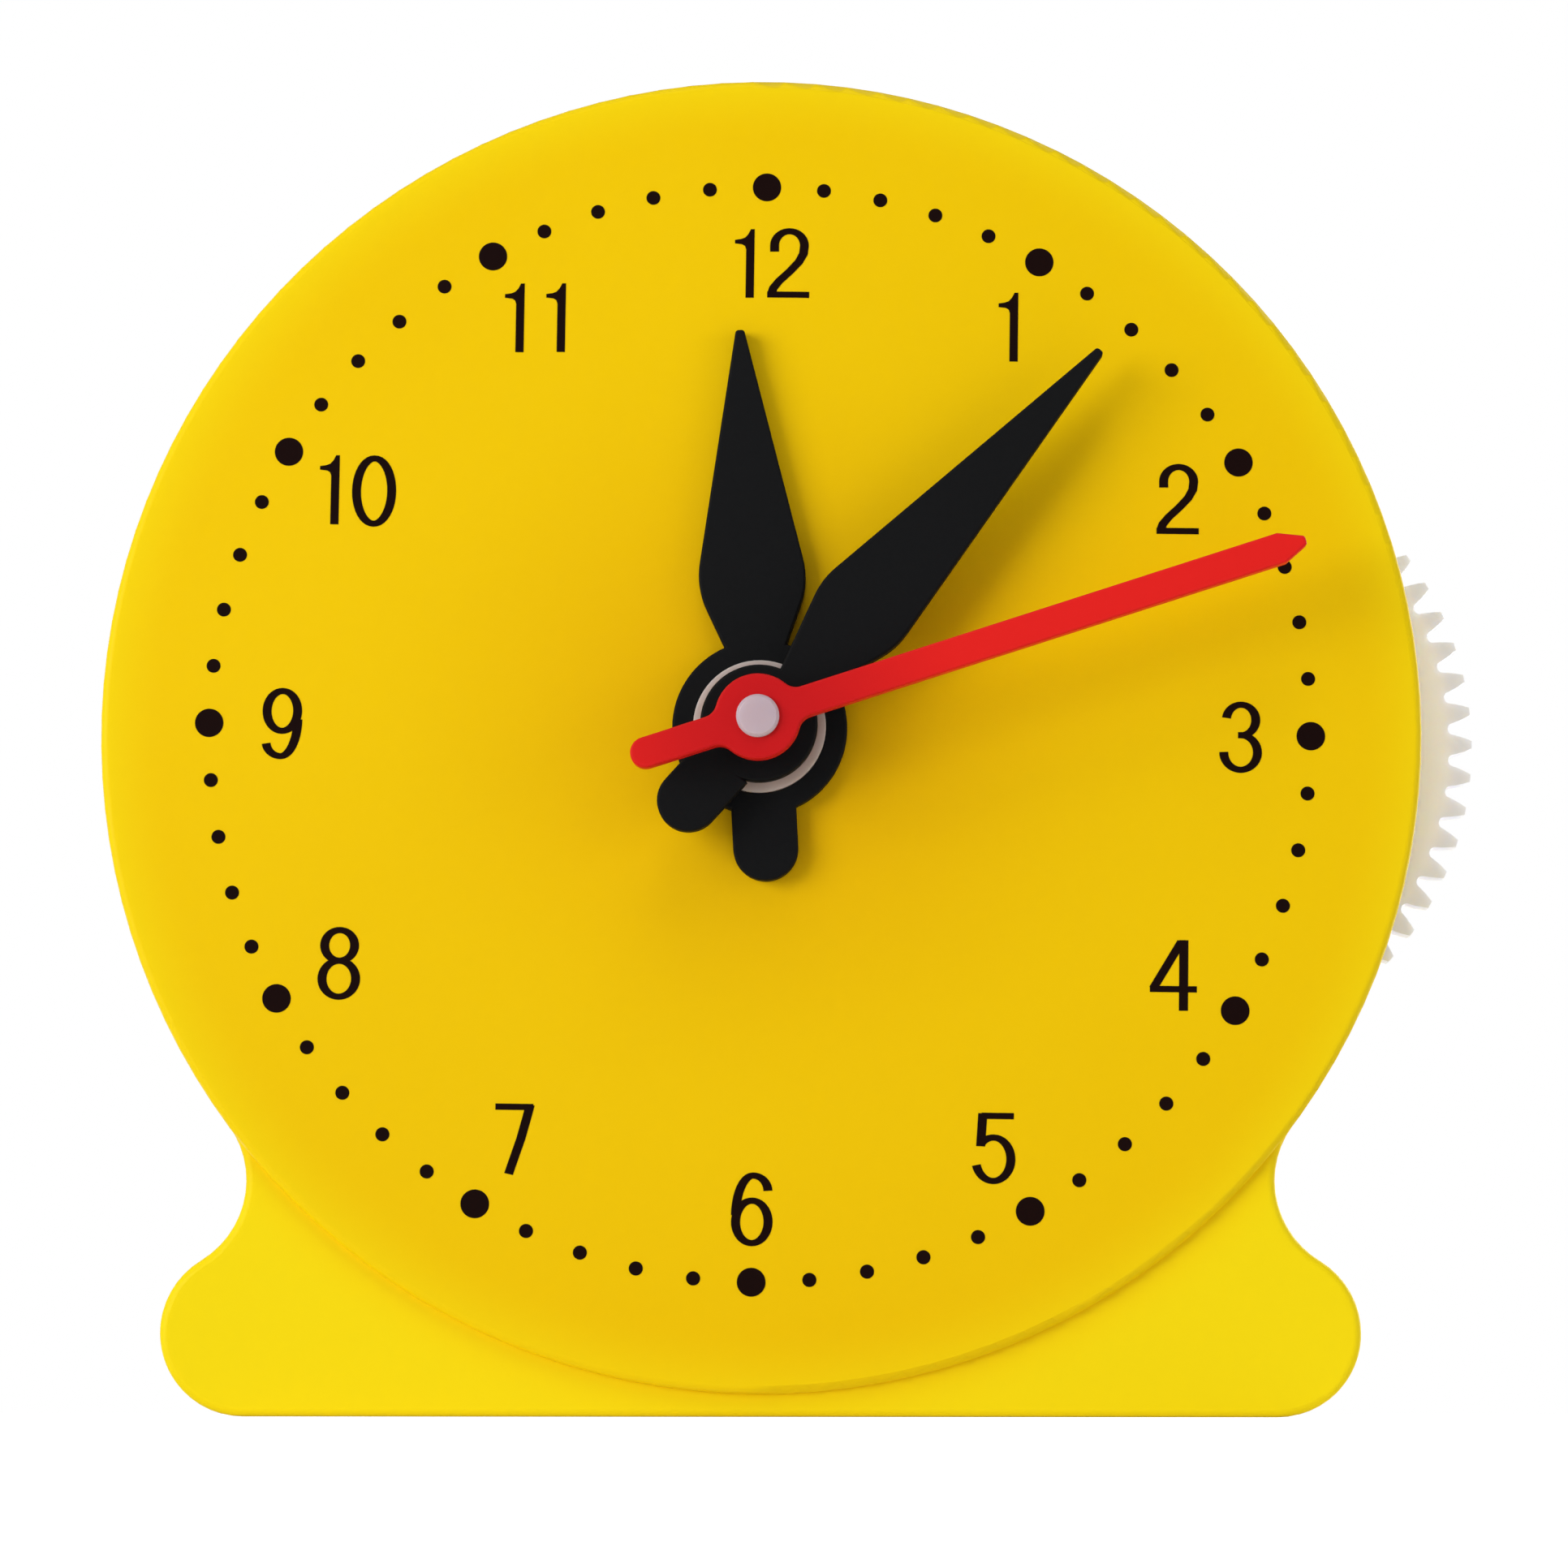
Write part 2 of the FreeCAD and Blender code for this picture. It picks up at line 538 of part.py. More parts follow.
def make_front_shell():
    """Dial, side walls and foot in one moulding, open at the rear."""
    body = new_body("front_shell")
    outside = new_sketch(body, "ShellOutline", "-Sizes.foot_step")
    add_case_outline(outside, "0")
    pad(body, outside, "Layout.shell_depth - Sizes.foot_step", backwards=True)
    foot_level = -value("Sizes.foot_step")
    round_edges(body, "FootEdge", "Sizes.edge_radius", lambda edge: lies_at(edge, foot_level))
    dial = new_sketch(body, "DialDisc")
    add_circle(dial, "Sizes.disc_radius")
    pad(body, dial, "Sizes.foot_step + 2 * Sizes.edge_radius", backwards=True)
    round_edges(body, "DialEdge", "Sizes.edge_radius", lambda edge: lies_at(edge, 0))

    cavity = new_sketch(body, "Cavity", "-Layout.shell_depth")
    add_case_outline(cavity, "Sizes.wall")
    cavity_depth = "Layout.shell_depth - Sizes.foot_step - Sizes.dial_thickness"
    pocket(body, cavity, cavity_depth, forwards=True)
    hollow = new_sketch(body, "DialHollow", "-Layout.shell_depth")
    add_circle(hollow, "Sizes.disc_radius - Sizes.wall")
    pocket(body, hollow, "Layout.shell_depth - Sizes.dial_thickness", forwards=True)

    collar = new_sketch(body, "Collar", "-Sizes.dial_thickness")
    add_circle(collar, "Layout.dial_hole_radius + Sizes.collar_wall")
    add_circle(collar, "Sizes.post_radius", "Layout.thumb_x")
    pad(body, collar, "Sizes.collar_height", backwards=True)
    bosses = new_sketch(body, "ScrewBosses", "-Layout.shell_depth")
    for across, up in screw_places():
        add_circle(bosses, "Sizes.screw_boss_radius", across, up)
    pad(body, bosses, "Layout.shell_depth - Sizes.dial_thickness")

    hole = new_sketch(body, "DialHole")
    add_circle(hole, "Layout.dial_hole_radius")
    pocket(body, hole, "Sizes.dial_thickness + Sizes.collar_height")
    seat = new_sketch(body, "AxleSeat", "-(Sizes.dial_thickness + Sizes.collar_height)")
    add_circle(seat, "Sizes.thumb_axle_radius", "Layout.thumb_x")
    pocket(body, seat, "Sizes.dial_thickness + Sizes.collar_height - Layout.axle_front", forwards=True)
    pilots = new_sketch(body, "PilotHoles", "-Layout.shell_depth")
    for across, up in screw_places():
        add_circle(pilots, "Sizes.screw_radius", across, up)
    pocket(body, pilots, "Layout.shell_depth - Layout.screw_end + Sizes.screw_hole_spare", forwards=True)

    slot = new_sketch(body, "ThumbSlot", "-(Layout.thumb_wheel_front - Sizes.slot_clearance)")
    inner = "Layout.thumb_x + Layout.thumb_tip_radius / 2"
    outer = "Sizes.disc_radius + Sizes.overrun"
    top = "Layout.thumb_tip_radius * sqrt(3) / 2 + Sizes.slot_clearance"
    add_polygon(slot, ((inner, "-(%s)" % top), (outer, "-(%s)" % top), (outer, top), (inner, top)))
    pocket(body, slot, "Sizes.thumb_wheel_thickness + 2 * Sizes.slot_clearance")
    return stand_up(body)


def make_back_cover():
    """Rear moulding with a locating lip, the bearing bosses and the screws' counterbores."""
    body = new_body("back_cover")
    outside = new_sketch(body, "CoverOutline", "-Layout.shell_depth")
    add_case_outline(outside, "0")
    pad(body, outside, "Sizes.cover_thickness", backwards=True)
    rear_level = -value("Layout.case_depth")
    round_edges(body, "CoverEdge", "Sizes.edge_radius", lambda edge: lies_at(edge, rear_level))

    lip = new_sketch(body, "Lip", "-Layout.shell_depth")
    add_case_outline(lip, "Sizes.wall + Sizes.lip_clearance")
    add_case_outline(lip, "Sizes.wall + Sizes.lip_clearance + Sizes.lip_wall")
    pad(body, lip, "Sizes.lip_height")
    relief = new_sketch(body, "LipRelief", "-Layout.shell_depth + Sizes.lip_height")
    for across, up in screw_places():
        add_circle(relief, "Sizes.screw_boss_radius + Sizes.lip_clearance", across, up)
    pocket(body, relief, "Sizes.lip_height")

    bosses = (
        ("SecondBoss", "Sizes.second_boss_radius", "0", "Layout.second_boss_front"),
        ("ThirdBoss", "Sizes.post_radius", "Layout.third_x", "Layout.third_boss_front"),
        ("ThumbPost", "Sizes.post_radius", "Layout.thumb_x", "Layout.thumb_post_front"),
    )
    for name, radius, across, front in bosses:
        boss = new_sketch(body, name, "-Layout.shell_depth")
        add_circle(boss, radius, across)
        pad(body, boss, "Layout.shell_depth - " + front)
    pivot_radius = "Sizes.second_pivot_radius + Sizes.pin_clearance"
    pivot_floor = "Layout.second_pivot_rear + Sizes.axial_play"
    bores = (
        ("PivotBore", pivot_radius, "0", pivot_floor),
        ("ThirdBore", "Sizes.third_axle_radius", "Layout.third_x", "Layout.axle_rear"),
        ("ThumbBore", "Sizes.thumb_axle_radius", "Layout.thumb_x", "Layout.axle_rear"),
    )
    for (name, radius, across, rear), (_, _, _, front) in zip(bores, bosses):
        bore = new_sketch(body, name, "-" + front)
        add_circle(bore, radius, across)
        pocket(body, bore, "%s - %s" % (rear, front))

    holes = new_sketch(body, "ScrewHoles", "-Layout.case_depth")
    counterbores = new_sketch(body, "Counterbores", "-Layout.case_depth")
    for across, up in screw_places():
        add_circle(holes, "Sizes.screw_radius + Sizes.screw_hole_clearance", across, up)
        add_circle(counterbores, "Sizes.screw_head_radius + Sizes.screw_hole_clearance", across, up)
    pocket(body, holes, "Sizes.cover_thickness", forwards=True)
    pocket(body, counterbores, "Sizes.screw_head_height", forwards=True)
    return stand_up(body)


def make_cover_screws():
    """Four pan head screws with a cross recess, driven from behind."""
    screws = []
    for number, (across, up) in enumerate(screw_places(), start=1):
        prefix = "Screw%d" % number
        head = rod(prefix + "Head", "Sizes.screw_head_radius", "Layout.screw_seat", "Layout.case_depth")
        shank_front = "Layout.screw_end + Sizes.screw_tip_length"
        shank = rod(prefix + "Shank", "Sizes.screw_radius", shank_front, "Layout.screw_seat")
        tip = doc.addObject("Part::Cone", prefix + "Tip")
        tip.setExpression("Radius1", "Sizes.screw_radius")
        tip.Radius2 = 0
        tip.setExpression("Height", "Sizes.screw_tip_length")
        tip.setExpression("Placement.Base.z", "-(%s)" % shank_front)
        slots = []
        arms = (("Upright", "cross_width", "cross_length"), ("Level", "cross_length", "cross_width"))
        for arm, wide, high in arms:
            slot = doc.addObject("Part::Box", prefix + arm)
            slot.setExpression("Length", "Sizes." + wide)
            slot.setExpression("Width", "Sizes." + high)
            slot.setExpression("Height", "Sizes.cross_depth + Sizes.overrun")
            slot.setExpression("Placement.Base.x", "-Sizes.%s / 2" % wide)
            slot.setExpression("Placement.Base.y", "-Sizes.%s / 2" % high)
            slot.setExpression("Placement.Base.z", "-Layout.case_depth - Sizes.overrun")
            slots.append(slot)
        blank = fused(prefix + "Blank", [head, shank, tip])
        screw = bored(prefix, blank, fused(prefix + "Cross", slots))
        screw.setExpression("Placement.Base.x", across)
        screw.setExpression("Placement.Base.y", up)
        screws.append(screw)
    group = doc.addObject("Part::Compound", "CoverScrews")
    group.Label = "cover_screws"
    group.Links = screws
    return stand_up(group)


def make_axle(wheel, front):
    """The plain steel pin of one wheel, from a depth behind the dial's face to its seat in the cover."""
    label = wheel + "_axle"
    pin = rod(label, "Sizes.%s_radius" % label, front, "Layout.axle_rear")
    pin.Label = label
    stand_up(pin, "Layout.%s_x" % wheel)
    pin.setExpression("Placement.Base.y", "Layout.dial_face_y + Layout.axle_rear")
    return pin


def make_friction_spring():
    """A dished spring washer between the second pinion and its boss."""
    body = new_body("friction_spring")
    sketch = body.newObject("Sketcher::SketchObject", "SpringSection")
    plane = next(item for item in body.Origin.OriginFeatures if item.Role == "XZ_Plane")
    sketch.AttachmentSupport = [(plane, "")]
    sketch.MapMode = "FlatFace"
    inner = "Sizes.second_pivot_radius + Sizes.running_clearance"
    rear = "-(Layout.second_boss_front - Sizes.spring_thickness / 2)"
    front = "-(Layout.second_pinion_rear + Sizes.spring_thickness / 2)"
    corners = (
        (inner, front + " - Sizes.spring_thickness"),
        ("Sizes.spring_radius", rear),
        ("Sizes.spring_radius", rear + " + Sizes.spring_thickness"),
        (inner, front),
    )
    add_polygon(sketch, corners)
    ring = body.newObject("PartDesign::Revolution", "SpringRing")
    ring.Profile = sketch
    ring.ReferenceAxis = (sketch, ["V_Axis"])
    ring.Angle = 360
    sketch.Visibility = False
    doc.recompute()
    return stand_up(body)


# Wheels, pinions and arbors


def make_hour_wheel():
    """45 teeth on a web with the long tube that carries the hour hand."""
    blank = toothed_disc("HourTeeth", HOUR_GEAR, "Layout.hour_front", "Layout.hour_rear", TOOTH_RIGHT)
    recess = web_recess("HourRecess", HOUR_GEAR, "Sizes.hour_tube_radius", "Layout.hour_rear", from_rear=True)
    tube = rod("HourTube", "Sizes.hour_tube_radius", "-Layout.hour_tube_end", "Layout.hour_front")
    solid = fused("HourBlank", [bored("HourWeb", blank, recess), tube])
    bore_front = "-(Layout.hour_tube_end + Sizes.overrun)"
    bore = rod("HourBore", "Layout.hour_bore_radius", bore_front, "Layout.hour_rear + Sizes.overrun")
    wheel = bored("HourWheel", solid, bore)
    wheel.Label = "hour_wheel"
    return stand_up(wheel)


def make_thumb_wheel():
    """60 teeth for the thumb and the minute pinion, with the 15 tooth pinion that drives the hour wheel."""
    front, step, rear = "Layout.hour_front", "Layout.thumb_wheel_front", "Layout.thumb_wheel_rear"
    pinion = toothed_disc("ThumbPinion", THUMB_PINION_GEAR, front, step, GAP_LEFT)
    teeth = toothed_disc("ThumbTeeth", THUMB_GEAR, step, rear, TOOTH_LEFT)
    bore_radius = "Sizes.thumb_axle_radius + Sizes.pin_clearance"
    bore = rod("ThumbHole", bore_radius, front + " - Sizes.overrun", rear + " + Sizes.overrun")
    wheel = bored("ThumbWheel", fused("ThumbBlank", [pinion, teeth]), bore)
    wheel.Label = "thumb_wheel"
    return stand_up(wheel, "Layout.thumb_x")


def make_minute_arbor():
    """The tube of the minute hand with its 15 tooth pinion and the seat of the minute wheel."""
    front, rear = "Layout.minute_pinion_front", "Layout.minute_wheel_front"
    pinion = toothed_disc("MinutePinion", MINUTE_PINION_GEAR, front, rear, GAP_RIGHT)
    tube_front, tube_rear = "-Layout.minute_tube_end", "Layout.minute_arbor_rear"
    tube = rod("MinuteTube", "Sizes.minute_tube_radius", tube_front, tube_rear)
    bore_front, bore_rear = tube_front + " - Sizes.overrun", tube_rear + " + Sizes.overrun"
    bore = rod("MinuteBore", "Layout.minute_bore_radius", bore_front, bore_rear)
    arbor = bored("MinuteArbor", fused("MinuteBlank", [pinion, tube]), bore)
    arbor.Label = "minute_arbor"
    return stand_up(arbor)


def make_minute_wheel():
    """70 teeth, pressed on the rear end of the minute arbor."""
    front, rear = "Layout.minute_wheel_front", "Layout.minute_wheel_rear"
    blank = toothed_disc("MinuteTeeth", MINUTE_GEAR, front, rear, TOOTH_LEFT, shift_share=-THIRD_SHIFT_SHARE)
    recess = web_recess("MinuteRecess", MINUTE_GEAR, "Sizes.minute_tube_radius", rear, from_rear=True)
    hole_front, hole_rear = front + " - Sizes.overrun", rear + " + Sizes.overrun"
    hole = rod("MinuteWheelHole", "Sizes.minute_tube_radius", hole_front, hole_rear)
    wheel = bored("MinuteWheel", bored("MinuteWeb", blank, recess), hole)
    wheel.Label = "minute_wheel"
    return stand_up(wheel)


def make_third_wheel():
    """66 teeth with a 7 tooth pinion, between the minute wheel and the second arbor."""
    front, step, rear = "Layout.third_pinion_front", "Layout.third_wheel_front", "Layout.third_wheel_rear"
    pinion = toothed_disc(
        "ThirdPinion", THIRD_PINION_GEAR, front, step, GAP_RIGHT,
        shift_share=THIRD_SHIFT_SHARE, addendum_share=THIRD_ADDENDUM_SHARE,
    )
    teeth = toothed_disc("ThirdTeeth", THIRD_GEAR, step, rear, TOOTH_RIGHT, shift_share=-SECOND_SHIFT_SHARE)
    recess = web_recess("ThirdRecess", THIRD_GEAR, "Sizes.post_radius", step, from_rear=False)
    bore_radius = "Sizes.third_axle_radius + Sizes.pin_clearance"
    bore = rod("ThirdHole", bore_radius, front + " - Sizes.overrun", rear + " + Sizes.overrun")
    solid = fused("ThirdBlank", [pinion, bored("ThirdWeb", teeth, recess)])
    wheel = bored("ThirdWheel", solid, bore)
    wheel.Label = "third_wheel"
    return stand_up(wheel, "Layout.third_x")


def make_second_arbor():
    """The long arbor of the second hand with its 11 tooth pinion and rear pivot."""
    front, rear = "Layout.second_pinion_front", "Layout.second_pinion_rear"
    pinion = toothed_disc(
        "SecondPinion", SECOND_PINION_GEAR, front, rear, GAP_LEFT, shift_share=SECOND_SHIFT_SHARE
    )
    shaft_end = "Layout.second_arbor_end - Sizes.second_arbor_chamfer"
    shaft = rod("SecondShaft", "Sizes.second_arbor_radius", "-(%s)" % shaft_end, front)
    chamfer = doc.addObject("Part::Cone", "SecondChamfer")
    chamfer.setExpression("Radius1", "Sizes.second_arbor_radius")
    chamfer.setExpression("Radius2", "Sizes.second_arbor_radius - Sizes.second_arbor_chamfer")
    chamfer.setExpression("Height", "Sizes.second_arbor_chamfer")
    chamfer.setExpression("Placement.Base.z", shaft_end)
    pivot = rod("SecondPivot", "Sizes.second_pivot_radius", rear, "Layout.second_pivot_rear")
    arbor = fused("SecondArbor", [shaft, chamfer, pinion, pivot])
    arbor.Label = "second_arbor"
    return stand_up(arbor)


# Hands


def upright_edge_at(edge, across, up):
    """Whether an edge runs from front to back at a place, on either side of the hand."""
    box = edge.BoundBox
    level = box.ZLength < SAME_PLACE
    aside = abs(abs(box.Center.x) - across) > SAME_PLACE or box.XLength > SAME_PLACE
    return not level and not aside and abs(box.Center.y - up) < SAME_PLACE and box.YLength < SAME_PLACE


def make_pointed_hand(hand, seat_depth):
    """A leaf-shaped hand: ring hub, shoulders that taper to the tip, and a tail with a round end.

    Its tube is pressed into a seat of some depth in the rear of the hub.
    """
    body = new_body(hand + "_hand")
    rear = "Layout.%s_hand_rear" % hand
    tube_radius = "Sizes.%s_tube_radius" % hand
    thickness = "Sizes.%s_hand_thickness" % hand
    hub_radius = "Sizes.%s_hub_radius" % hand
    length = "Sizes.%s_hand_length" % hand
    shoulder = ("Sizes.%s_shoulder_half_width" % hand, "Sizes.%s_shoulder_reach" % hand)
    root_width = "Sizes.%s_root_half_width" % hand
    tail_width = "Sizes.%s_tail_half_width" % hand
    tail_centre = "-(Sizes.%s_tail_length - %s)" % (hand, tail_width)
    root = "(%s + %s) / 2" % (hub_radius, tube_radius)

    blade = new_sketch(body, hand + "Blade", rear)
    right_side = ((root_width, root), shoulder, ("Sizes.tip_half_width", length))
    left_side = tuple(("-" + across, up) for across, up in reversed(right_side))
    add_polygon(blade, right_side + left_side)
    pad(body, blade, thickness)

    def is_shoulder(edge):
        return upright_edge_at(edge, value(shoulder[0]), value(shoulder[1]))

    def is_tip(edge):
        return upright_edge_at(edge, value("Sizes.tip_half_width"), value(length))

    round_edges(body, hand + "Shoulders", "Sizes.shoulder_rounding", is_shoulder)
    round_edges(body, hand + "Tip", "Sizes.tip_rounding", is_tip)
    tail = new_sketch(body, hand + "Tail", rear)
    tail_corners = (
        (tail_width, tail_centre),
        (tail_width, "-" + root),
        ("-" + tail_width, "-" + root),
        ("-" + tail_width, tail_centre),
    )
    add_polygon(tail, tail_corners)
    pad(body, tail, thickness)
    tail_end = new_sketch(body, hand + "TailEnd", rear)
    add_circle(tail_end, tail_width, "0", tail_centre)
    pad(body, tail_end, thickness)
    hub = new_sketch(body, hand + "Hub", rear)
    add_circle(hub, hub_radius)
    pad(body, hub, thickness)
    face_level = value("Layout.%s_hand_face" % hand)
    round_edges(body, hand + "Edge", "Sizes.hand_edge_radius", lambda edge: lies_at(edge, face_level))
    seat = new_sketch(body, hand + "Seat", rear)
    add_circle(seat, tube_radius)
    pocket(body, seat, seat_depth, forwards=True)
    return stand_up(body, clockwise=value("Sizes.%s_hand_angle" % hand))


def make_hour_hand():
    """The short hand: its hub is a ring right through, and the end of the hour tube shows in it."""
    return make_pointed_hand("hour", "Sizes.hour_hand_thickness")


def make_minute_hand():
    """The long hand: its hub hides the tube's end, and only the second arbor passes through."""
    hand = make_pointed_hand("minute", "Sizes.minute_seat_depth")
    hole = new_sketch(hand, "minuteHole", "Layout.minute_tube_end")
    add_circle(hole, "Layout.minute_bore_radius")
    pocket(hand, hole, "Layout.minute_hand_face - Layout.minute_tube_end", forwards=True)
    return hand


def make_second_hand():
    """A narrow straight blade with a point, a round tail and a filleted hub on a collar."""
    body = new_body("second_hand")
    half = "Sizes.second_blade_half_width"
    thickness = "Sizes.second_hand_thickness"
    blade = new_sketch(body, "SecondBlade", "Layout.second_hand_rear")
    tail_centre = "-(Sizes.second_tail_length - %s)" % half
    point_start = "Sizes.second_hand_length - Sizes.second_point_length"
    blade_corners = (
        (half, tail_centre),
        (half, point_start),
        ("Sizes.tip_half_width", "Sizes.second_hand_length"),
        ("-Sizes.tip_half_width", "Sizes.second_hand_length"),
        ("-" + half, point_start),
        ("-" + half, tail_centre),
    )
    add_polygon(blade, blade_corners)
    pad(body, blade, thickness)

    def is_tip(edge):
        return upright_edge_at(edge, value("Sizes.tip_half_width"), value("Sizes.second_hand_length"))

    round_edges(body, "SecondTip", "Sizes.tip_rounding", is_tip)
    tail = new_sketch(body, "SecondTail", "Layout.second_hand_rear")
    add_circle(tail, half, "0", tail_centre)
    pad(body, tail, thickness)
    hub = new_sketch(body, "SecondHub", "Layout.second_hand_rear")
    add_circle(hub, "Sizes.second_hub_radius")
    pad(body, hub, thickness)
    half_width = value(half)
    crossing = math.sqrt(value("Sizes.second_hub_radius") ** 2 - half_width ** 2)

    def is_hub_corner(edge):
        return upright_edge_at(edge, half_width, crossing) or upright_edge_at(edge, half_width, -crossing)

    round_edges(body, "HubFillets", "Sizes.second_hub_fillet", is_hub_corner)
    face_level = value("Layout.second_hand_face")
    round_edges(body, "SecondEdge", "Sizes.hand_edge_radius", lambda edge: lies_at(edge, face_level))
    collar = new_sketch(body, "SecondCollar", "Layout.minute_hand_face + Sizes.axial_play")
    add_circle(collar, "Sizes.second_collar_radius")
    pad(body, collar, "Sizes.second_hand_gap - Sizes.axial_play")
    hole = new_sketch(body, "SecondHole", "Layout.second_hand_face")
    add_circle(hole, "Sizes.second_arbor_radius")
    pocket(body, hole, thickness + " + Sizes.second_hand_gap")
    return stand_up(body, clockwise=value("Sizes.second_hand_angle"))


pieces = [
    make_front_shell(),
    make_back_cover(),
    make_cover_screws(),
    make_axle("thumb", "Layout.axle_front"),
    make_axle("third", "Layout.third_axle_front"),
    make_friction_spring(),
    make_thumb_wheel(),
    make_hour_wheel(),
    make_hour_hand(),
    make_minute_arbor(),
    make_minute_wheel(),
    make_minute_hand(),
    make_third_wheel(),
    make_second_arbor(),
    make_second_hand(),
]

doc.recompute()
broken = [item.Name for item in doc.Objects if "Invalid" in item.State or "Error" in item.State]
if broken:
    raise RuntimeError("failed objects: " + ", ".join(broken))
for piece in pieces:
    if piece.Shape.isNull() or not piece.Shape.isValid():
        raise RuntimeError("no valid shape: " + piece.Label)

os.makedirs("parts", exist_ok=True)
for piece in pieces:
    piece.Shape.exportStep("parts/%s.step" % piece.Label)
    print("%-16s %d solid(s), %9.2f mm3" % (piece.Label, len(piece.Shape.Solids), piece.Shape.Volume))
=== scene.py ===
import math

import bmesh
import bpy
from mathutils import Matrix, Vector, geometry


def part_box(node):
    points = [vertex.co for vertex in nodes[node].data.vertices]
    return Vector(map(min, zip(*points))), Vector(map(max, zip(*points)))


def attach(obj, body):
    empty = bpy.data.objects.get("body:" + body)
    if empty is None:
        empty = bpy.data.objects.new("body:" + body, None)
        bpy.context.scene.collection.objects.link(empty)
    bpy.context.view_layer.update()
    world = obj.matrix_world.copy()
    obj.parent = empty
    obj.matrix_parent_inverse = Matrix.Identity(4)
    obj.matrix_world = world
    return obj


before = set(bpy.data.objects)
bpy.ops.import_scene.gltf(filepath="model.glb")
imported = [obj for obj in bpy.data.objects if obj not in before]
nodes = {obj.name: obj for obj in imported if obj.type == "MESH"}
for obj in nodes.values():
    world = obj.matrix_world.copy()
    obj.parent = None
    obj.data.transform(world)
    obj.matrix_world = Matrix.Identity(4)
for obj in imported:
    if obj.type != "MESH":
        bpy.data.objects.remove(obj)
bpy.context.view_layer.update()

# Case: two yellow ABS mouldings, a shell with the dial on its face and a cover screwed to its back.
# The shell's mould is stoned to a satin. The cover's is spark eroded to a fine grain that hides scuffs.
MM = 0.001
ABS_IOR = 1.54
PLASTIC_GLOSS = 0.07
CASE_YELLOW = "#F8CE02"
CASE_YELLOW_DEEP = "#F4C700"
# A lemon painted on the foot as light through the thin wall, and an amber painted round the hub as
# shade
PAINTED_LIGHT_LEMON = "#FDE20E"
PAINTED_SHADE_AMBER = "#F0BC00"
FLOW_CLOUD_SIZE = 30 * MM
FLOW_CLOUD_DETAIL = 3.0
FLOW_CLOUD_ROUGHNESS = 0.45
RELIEF_DETAIL = 2.0
RELIEF_ROUGHNESS = 0.5
# The relief's noise lies mostly between these, and its tops are a little duller than its hollows
RELIEF_LOW = 0.3
RELIEF_HIGH = 0.7
GLOSS_SPREAD = 0.04
SATIN_ROUGHNESS = 0.42
SATIN_WAVE_SIZE = 1.1 * MM
SATIN_WAVE_HEIGHT = 0.003 * MM
# Spark grain is about 0.1 mm across, too fine to show, so it is drawn as coarse as it needs to be seen
SPARK_ROUGHNESS = 0.55
SPARK_GRAIN_SIZE = 0.7 * MM
SPARK_GRAIN_HEIGHT = 0.12 * MM
# Distances from the hub between which the painted amber shade round the hub fades out and the painted
# lemon light on the foot fades in
PAINTED_SHADE_FULL = 2 * MM
PAINTED_SHADE_GONE = 32 * MM
PAINTED_LIGHT_START = 45 * MM
PAINTED_LIGHT_FULL = 54 * MM
# Numbers of a colour Mix node's sockets
MIX_A = 6
MIX_B = 7
MIX_RESULT = 2


def paint(hex_colour):
    """Linear red, green, blue and alpha of an sRGB hex value."""
    channels = [int(hex_colour[place:place + 2], 16) / 255 for place in (1, 3, 5)]
    return [c / 12.92 if c <= 0.04045 else ((c + 0.055) / 1.055) ** 2.4 for c in channels] + [1.0]


def add_node(material, kind, inputs=(), **properties):
    """Add a shader node. Its inputs are pairs of a socket and a value or another node's output."""
    node = material.node_tree.nodes.new(kind)
    for name, setting in properties.items():
        setattr(node, name, setting)
    for socket, feed in inputs:
        if isinstance(feed, bpy.types.NodeSocket):
            material.node_tree.links.new(node.inputs[socket], feed)
        else:
            node.inputs[socket].default_value = feed
    return node


def moulded(name, colours, roughness, relief_size, relief_height):
    """Two close shades in slow clouds under the shallow relief that the mould leaves.

    Gives the material, its shader, and the Mix node of the two shades.
    """
    material = bpy.data.materials.new(name)
    material.use_nodes = True
    material.node_tree.nodes.clear()
    place = add_node(material, "ShaderNodeTexCoord").outputs["Object"]
    cloud = add_node(material, "ShaderNodeTexNoise", [
        ("Vector", place), ("Scale", 1 / FLOW_CLOUD_SIZE),
        ("Detail", FLOW_CLOUD_DETAIL), ("Roughness", FLOW_CLOUD_ROUGHNESS)])
    shade = add_node(material, "ShaderNodeMix", [
        ("Factor", cloud.outputs["Fac"]), (MIX_A, paint(colours[0])), (MIX_B, paint(colours[1]))],
        data_type="RGBA")
    relief = add_node(material, "ShaderNodeTexNoise", [
        ("Vector", place), ("Scale", 1 / relief_size),
        ("Detail", RELIEF_DETAIL), ("Roughness", RELIEF_ROUGHNESS)])
    gloss = add_node(material, "ShaderNodeMapRange", [
        ("Value", relief.outputs["Fac"]), ("From Min", RELIEF_LOW), ("From Max", RELIEF_HIGH),
        ("To Min", roughness - GLOSS_SPREAD), ("To Max", roughness + GLOSS_SPREAD)])
    bump = add_node(material, "ShaderNodeBump", [
        ("Height", relief.outputs["Fac"]), ("Distance", relief_height), ("Strength", 1.0)])
    shader = add_node(material, "ShaderNodeBsdfPrincipled", [
        ("Base Color", shade.outputs[MIX_RESULT]), ("Roughness", gloss.outputs["Result"]),
        ("Normal", bump.outputs["Normal"]), ("IOR", ABS_IOR), ("Specular IOR Level", PLASTIC_GLOSS)])
    add_node(material, "ShaderNodeOutputMaterial", [("Surface", shader.outputs["BSDF"])])
    return material, shader, shade


def dress(material, *names):
    """Give CAD nodes a material in every slot."""
    for name in names:
        for slot in nodes[name].material_slots:
            slot.material = material


